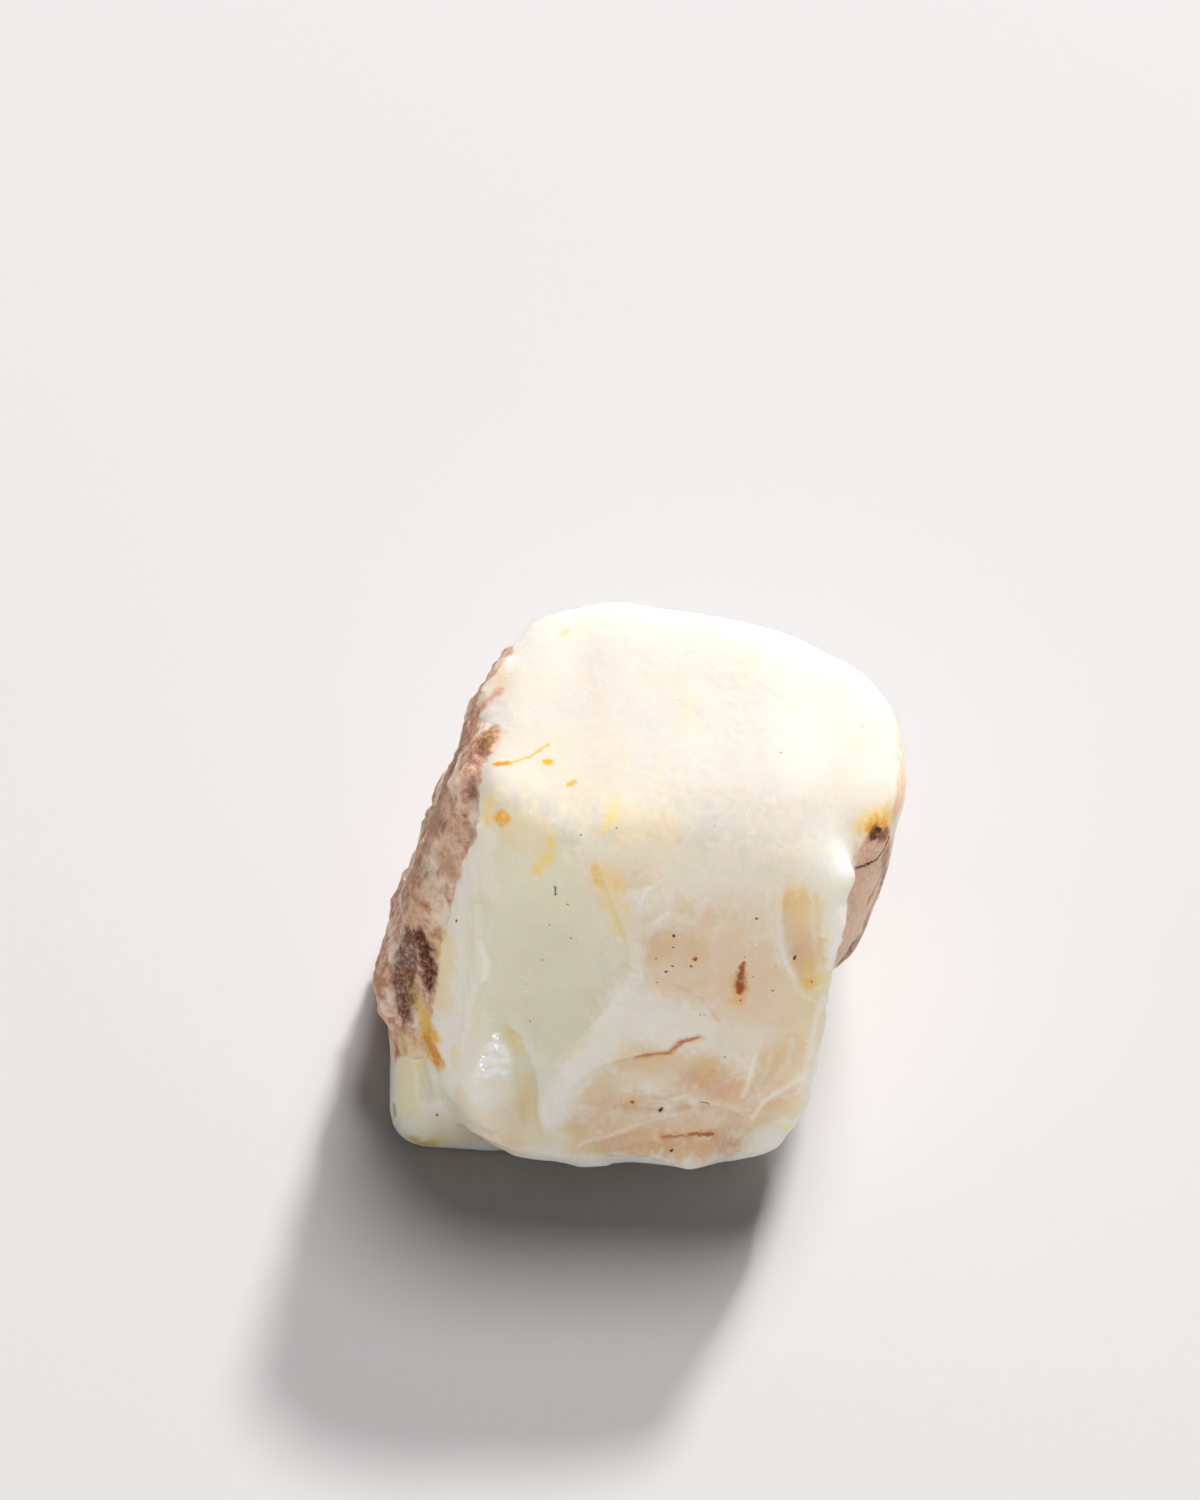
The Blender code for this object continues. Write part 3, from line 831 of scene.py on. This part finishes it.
def shape_stone():
    """The stone's mesh in its own millimetres, and the map of the photograph on it."""
    directions, quads = cube_grid()
    points = CORE + directions * reach_surface(directions)[:, None]
    points += directions * relief(points)[:, None]
    normals = surface_normals(points)
    points += normals * fine_relief(points, normals, StoneMap(points, quads))[:, None]
    stone_map = StoneMap(points, quads)
    shell = bmesh.new()
    corners = [shell.verts.new(point) for point in points]
    for quad in quads.tolist():
        shell.faces.new([corners[index] for index in quad])
    bmesh.ops.remove_doubles(shell, verts=shell.verts[:], dist=MERGE_DISTANCE)
    trim_resting_face(shell)
    mesh = bpy.data.meshes.new(STONE)
    shell.to_mesh(mesh)
    shell.free()
    return mesh, stone_map


def mesh_points(mesh):
    """The mesh's vertices as an array."""
    flat = np.empty(len(mesh.vertices) * 3)
    mesh.vertices.foreach_get("co", flat)
    return flat.reshape(-1, 3)


def rock_cover(points, stone_map):
    """1 where the host rock shows, with its left edge where the photograph has it."""
    edge = np.array(stone_map.path(ROCK_EDGE))
    heights = edge @ UP_IN_PHOTO
    order = np.argsort(heights)
    edge_depth = np.interp(points @ UP_IN_PHOTO, heights[order], depth_in_skin(edge, LEFT_SKIN[:1])[order])
    left = depth_in_skin(points, LEFT_SKIN[:1]) - edge_depth
    left = np.minimum(left, depth_in_skin(points, LEFT_SKIN[1:]))
    others = np.maximum(depth_in_skin(points, RIGHT_SKIN), depth_in_skin(points, BACK_SKIN))
    return np.clip(np.maximum(left, others) / ROCK_FADE + 0.5, 0.0, 1.0)


def store(mesh, name, values):
    """Keep one number for each vertex, for the material to read."""
    mesh.attributes.new(name, "FLOAT", "POINT").data.foreach_set("value", values)


def ridge_highlights():
    """The raised lines as marks of painted highlight, in the milky paint."""
    return {name: RIDGE_SHINE + (pixels,) for name, (_, _, pixels) in RIDGES.items()}


def paint_stone(mesh, stone_map):
    """Store where the host rock and each kind of stain lie."""
    points = mesh_points(mesh)
    ragged = sum(share * lumps(points, spacing) for share, spacing in RAGGED_EDGES)
    store(mesh, "rock", rock_cover(points, stone_map))
    # Painted shade on the top, by height
    store(mesh, "painted_top_shade", np.interp(points[:, 2], PAINTED_TOP_SHADE_HEIGHTS, PAINTED_TOP_SHADE_STRENGTHS))
    # The milky paint also carries the painted highlight of the raised lines
    for kind, marks in {**PAINT, "milk_and_highlight": PAINT["milk_and_highlight"] | ridge_highlights()}.items():
        store(mesh, kind, paint_strength(points, marks, stone_map, ragged))


# Materials

class Board:
    """A material's node tree, with a short way to add each kind of node."""

    def __init__(self, name):
        self.material = bpy.data.materials.new(name)
        self.material.use_nodes = True
        self.tree = self.material.node_tree
        self.shader = self.tree.nodes["Principled BSDF"]

    def feed(self, socket, value):
        """Set a socket, or link it where the value comes from another node."""
        if isinstance(value, bpy.types.NodeSocket):
            self.tree.links.new(value, socket)
        elif value is not None:
            socket.default_value = value

    def position(self):
        """Place on the object in millimetres."""
        coordinates = self.tree.nodes.new("ShaderNodeTexCoord")
        scale = self.tree.nodes.new("ShaderNodeVectorMath")
        scale.operation = "SCALE"
        self.feed(scale.inputs[0], coordinates.outputs["Object"])
        scale.inputs["Scale"].default_value = 1.0 / METRES_PER_MM
        return scale.outputs["Vector"]

    def attribute(self, name):
        """A number stored on the mesh."""
        node = self.tree.nodes.new("ShaderNodeAttribute")
        node.attribute_name = name
        return node.outputs["Fac"]

    def noise(self, position, name):
        """Cloudy noise from 0 to 1."""
        spacing, detail, roughness = NOISES[name]
        node = self.tree.nodes.new("ShaderNodeTexNoise")
        self.feed(node.inputs["Vector"], position)
        node.inputs["Scale"].default_value = 1.0 / spacing
        node.inputs["Detail"].default_value = detail
        node.inputs["Roughness"].default_value = roughness
        return node.outputs["Fac"]

    def cells(self, position, spacing, output="Distance"):
        """Grains: the distance to each grain's middle, or a colour of its own for each."""
        node = self.tree.nodes.new("ShaderNodeTexVoronoi")
        self.feed(node.inputs["Vector"], position)
        node.inputs["Scale"].default_value = 1.0 / spacing
        return node.outputs[output]

    def dots(self, position, spacing, radius, share):
        """Tiny round dots here and there: one in the given share of the grains."""
        near = self.spread(self.cells(position, spacing), radius / spacing, radius / spacing / 2)
        colour = self.tree.nodes.new("ShaderNodeSeparateColor")
        self.feed(colour.inputs["Color"], self.cells(position, spacing, "Color"))
        return self.math("MULTIPLY", near, self.math("LESS_THAN", colour.outputs["Red"], share))

    def math(self, operation, a, b=None, clamp=False):
        """Arithmetic on one or two numbers."""
        node = self.tree.nodes.new("ShaderNodeMath")
        node.operation = operation
        node.use_clamp = clamp
        self.feed(node.inputs[0], a)
        self.feed(node.inputs[1], b)
        return node.outputs["Value"]

    def spread(self, value, low, high, to_low=0.0, to_high=1.0):
        """Stretch the part of a value between low and high, smoothly."""
        node = self.tree.nodes.new("ShaderNodeMapRange")
        node.interpolation_type = "SMOOTHSTEP"
        self.feed(node.inputs["Value"], value)
        node.inputs["From Min"].default_value = low
        node.inputs["From Max"].default_value = high
        node.inputs["To Min"].default_value = to_low
        node.inputs["To Max"].default_value = to_high
        return node.outputs["Result"]

    def mix(self, factor, a, b):
        """Blend two colours."""
        node = self.tree.nodes.new("ShaderNodeMixRGB")
        self.feed(node.inputs["Fac"], factor)
        self.feed(node.inputs["Color1"], a)
        self.feed(node.inputs["Color2"], b)
        return node.outputs["Color"]

    def vector(self, operation, a, b, output="Vector"):
        """Arithmetic on two vectors, or on a vector and a number."""
        node = self.tree.nodes.new("ShaderNodeVectorMath")
        node.operation = operation
        self.feed(node.inputs[0], a)
        self.feed(node.inputs["Scale" if operation == "SCALE" else 1], b)
        return node.outputs[output]

    def uneven(self, position, spacing, reach):
        """The position moved about a little, so that what is drawn there gets uneven edges."""
        node = self.tree.nodes.new("ShaderNodeTexNoise")
        self.feed(node.inputs["Vector"], position)
        node.inputs["Scale"].default_value = 1.0 / spacing
        centred = self.vector("SUBTRACT", node.outputs["Color"], (0.5, 0.5, 0.5))
        return self.vector("ADD", position, self.vector("SCALE", centred, reach))

    def speck(self, position, place, radius):
        """1 within a round speck."""
        distance = self.vector("DISTANCE", position, place, output="Value")
        return self.spread(distance, radius * SPECK_EDGE[0], radius * SPECK_EDGE[1])

    def stroke(self, position, start, end, width):
        """1 within a short straight stroke."""
        span = end - start
        offset = self.vector("SUBTRACT", position, start)
        share = self.vector("DOT_PRODUCT", offset, span / (span @ span), output="Value")
        share = self.math("MULTIPLY", share, 1.0, clamp=True)
        along = self.vector("SCALE", tuple(span), share)
        distance = self.vector("DISTANCE", offset, along, output="Value")
        return self.spread(distance, width * STROKE_EDGE[0], width * STROKE_EDGE[1])

    def bump(self, height, strength, distance, under=None):
        """Small relief, on top of another where one is given."""
        node = self.tree.nodes.new("ShaderNodeBump")
        node.inputs["Strength"].default_value = strength
        node.inputs["Distance"].default_value = distance * METRES_PER_MM
        self.feed(node.inputs["Height"], height)
        self.feed(node.inputs["Normal"], under)
        return node.outputs["Normal"]


def opal_colours(board, position):
    """Colour of the opal: cream with milky clouds, greenish and beige areas, rust dots, painted shade on the
    top, and painted highlights in milky paint and white glint dots.
    """
    clouds = board.noise(position, "clouds")
    fine = board.noise(position, "uneven tone")
    colour = board.mix(board.spread(clouds, *SPREADS["clouds"]), TONES["cream"], TONES["milk_and_highlight"])
    # Painted shade: the top darker with height
    colour = board.mix(board.attribute("painted_top_shade"), colour, TONES["painted_top_shade"])
    uneven = board.spread(fine, *SPREADS["uneven tone"])
    green = board.math("MULTIPLY", board.attribute("green"), uneven, clamp=True)
    colour = board.mix(green, colour, TONES["green"])
    tan = board.math("MULTIPLY", board.attribute("tan"), uneven, clamp=True)
    colour = board.mix(tan, colour, TONES["tan"])
    # Milky white, partly the opal's own and partly painted highlight
    colour = board.mix(board.attribute("milk_and_highlight"), colour, TONES["milk_and_highlight"])
    tiny = board.noise(position, "tiny speckle")
    colour = board.mix(board.spread(tiny, *SPREADS["tiny speckle"]), colour, TONES["tan"])
    rust_dots = board.math("MULTIPLY", board.dots(position, *RUST_DOTS), RUST_DOT_STRENGTH)
    colour = board.mix(rust_dots, colour, TONES["rust"])
    # Painted highlights: white glint dots
    return board.mix(board.dots(position, *GLINT_DOTS), colour, TONES["glint"])


def rock_colours(board, position):
    """Colour of the host rock: purple brown grains with pale lumps and dark red hollows."""
    patches = board.noise(position, "rock patches")
    grains = board.noise(position, "rock grains")
    colour = board.mix(board.spread(grains, *SPREADS["rock grains"]), TONES["rock dark"], TONES["rock brown"])
    return board.mix(board.spread(patches, *SPREADS["rock patches"]), colour, TONES["rock pale"])


def thin_marks(board, position, stone_map, kind):
    """How strongly the strokes and specks of one kind cover the surface."""
    position = board.uneven(position, *MARK_UNEVENNESS)
    cover = 0.0
    for strength, width, pixels in STROKES[kind].values():
        path = [place + STAND for place in stone_map.path(pixels)]
        for start, end in zip(path, path[1:]):
            stroke = board.math("MULTIPLY", board.stroke(position, start, end, width), strength)
            cover = board.math("MAXIMUM", stroke, cover)
    for across, down, radius in SPECKS.get(kind, ()):
        speck = board.speck(position, stone_map.place((across, down)) + STAND, radius)
        cover = board.math("MAXIMUM", speck, cover)
    return cover


def opal_material(stone_map):
    """Waxy milky opal with its host rock, stains and specks, and painted shade and highlights."""
    board = Board("opal")
    position = board.position()
    colour = opal_colours(board, position)
    ragged = board.noise(position, "rock edge")
    edge = board.math("ADD", board.attribute("rock"), board.math("MULTIPLY", ragged, ROCK_EDGE_ROUGHNESS))
    rock = board.spread(edge, *SPREADS["rock edge"])
    colour = board.mix(rock, colour, rock_colours(board, position))
    speckled = board.spread(board.noise(position, "stain speckle"), *SPREADS["stain speckle"])
    # Stains, with painted shade in the brick and dark kinds and painted highlights in the glint kind
    for kind in ("brick", "yellow", "ochre", "rust", "oxblood", "dark", "glint"):
        cover = board.math("MULTIPLY", board.attribute(kind), speckled)
        colour = board.mix(cover, colour, TONES[kind])
    for kind in STROKES:
        colour = board.mix(thin_marks(board, position, stone_map, kind), colour, TONES[kind])
    shader = board.shader
    board.feed(shader.inputs["Base Color"], colour)
    dullness = board.spread(board.noise(position, "gloss"), *SPREADS["gloss"])
    glossy = board.math("MULTIPLY", board.attribute("gloss"), GLOSS_PULL)
    dullness = board.math("SUBTRACT", dullness, glossy)
    roughness = board.math("ADD", dullness, board.math("MULTIPLY", rock, ROCK_DULLNESS))
    board.feed(shader.inputs["Roughness"], roughness)
    shader.inputs["Specular IOR Level"].default_value = STONE_SPECULAR
    shader.inputs["Subsurface Scale"].default_value = LIGHT_DEPTH
    shader.inputs["Subsurface Radius"].default_value = LIGHT_DEPTH_BY_COLOUR
    board.feed(shader.inputs["Subsurface Weight"], board.spread(rock, *SPREADS["light inside"]))
    grain = board.bump(board.noise(position, "opal grain"), *OPAL_BUMP)
    rough_rock = board.math("MULTIPLY", board.noise(position, "rock relief"), rock)
    grain = board.bump(rough_rock, *ROCK_BUMP, under=grain)
    normal = board.bump(board.cells(position, GLINT_SPACING), *GLINT_BUMP, under=grain)
    board.feed(shader.inputs["Normal"], normal)
    return board.material


def build_stone():
    """The stone in its place, with its paint and material."""
    mesh, stone_map = shape_stone()
    paint_stone(mesh, stone_map)
    placed = (mesh_points(mesh) + STAND) * METRES_PER_MM
    mesh.vertices.foreach_set("co", placed.ravel())
    mesh.shade_smooth()
    mesh.materials.append(opal_material(stone_map))
    stone = bpy.data.objects.new(STONE, mesh)
    bpy.context.scene.collection.objects.link(stone)
    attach(stone, "root")
    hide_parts(CAD_STONE)
    return stone


# The studio

def metres(place):
    """A place in millimetres, as a vector in metres."""
    return Vector(place) * METRES_PER_MM


def look_at(thing, target):
    """Turn a camera or a light to face the target."""
    thing.rotation_euler = (Vector(target) - thing.location).to_track_quat("-Z", "Y").to_euler()


def build_camera():
    """The camera at the photograph's angle."""
    camera_data = bpy.data.cameras.new("photo camera")
    camera_data.lens = LENS
    camera_data.sensor_width = SENSOR
    camera = bpy.data.objects.new("photo camera", camera_data)
    bpy.context.scene.collection.objects.link(camera)
    camera.location = metres(CAMERA_PLACE)
    look_at(camera, metres(CAMERA_AIM))
    bpy.context.scene.camera = camera


def build_lights(stone):
    """The two lamps behind the stone, and the fills at its front and sides."""
    for name, (azimuth, elevation, distance, diameter, power, colour) in LIGHTS.items():
        light_data = bpy.data.lights.new(name, "AREA")
        light_data.shape = "DISK"
        light_data.size = diameter * METRES_PER_MM
        light_data.energy = power
        light_data.color = colour
        light = bpy.data.objects.new(name, light_data)
        bpy.context.scene.collection.objects.link(light)
        light.location = metres(CORE + facing(azimuth, elevation) * distance)
        look_at(light, metres(CORE))
        if name in STONE_FILLS:
            light_data.cycles.max_bounces = 0
            lit = bpy.data.collections.new("lit by the " + name)
            lit.objects.link(stone)
            light.light_linking.receiver_collection = lit


def build_surroundings():
    """Dim light from all round, with a pale backdrop behind the stone in low views."""
    world = bpy.data.worlds.new("studio")
    bpy.context.scene.world = world
    world.use_nodes = True
    nodes = world.node_tree.nodes
    links = world.node_tree.links
    ambient = nodes["Background"]
    ambient.inputs["Color"].default_value = AMBIENT_COLOUR
    ambient.inputs["Strength"].default_value = AMBIENT_STRENGTH
    backdrop = nodes.new("ShaderNodeBackground")
    backdrop.inputs["Color"].default_value = BACKDROP_COLOUR
    path = nodes.new("ShaderNodeLightPath")
    both = nodes.new("ShaderNodeMixShader")
    links.new(path.outputs["Is Camera Ray"], both.inputs["Fac"])
    links.new(ambient.outputs["Background"], both.inputs[1])
    links.new(backdrop.outputs["Background"], both.inputs[2])
    links.new(both.outputs["Shader"], nodes["World Output"].inputs["Surface"])


def build_floor():
    """A plain pale floor."""
    shell = bmesh.new()
    bmesh.ops.create_grid(shell, x_segments=1, y_segments=1, size=FLOOR_SIZE * METRES_PER_MM / 2)
    mesh = bpy.data.meshes.new("floor")
    shell.to_mesh(mesh)
    shell.free()
    board = Board("floor")
    board.shader.inputs["Base Color"].default_value = FLOOR_COLOUR
    board.shader.inputs["Roughness"].default_value = FLOOR_ROUGHNESS
    board.shader.inputs["Specular IOR Level"].default_value = FLOOR_SPECULAR
    mesh.materials.append(board.material)
    floor = bpy.data.objects.new("floor", mesh)
    bpy.context.scene.collection.objects.link(floor)


bpy.context.scene.view_settings.view_transform = "Standard"
build_camera()
build_surroundings()
build_floor()
build_lights(build_stone())

bpy.context.view_layer.update()
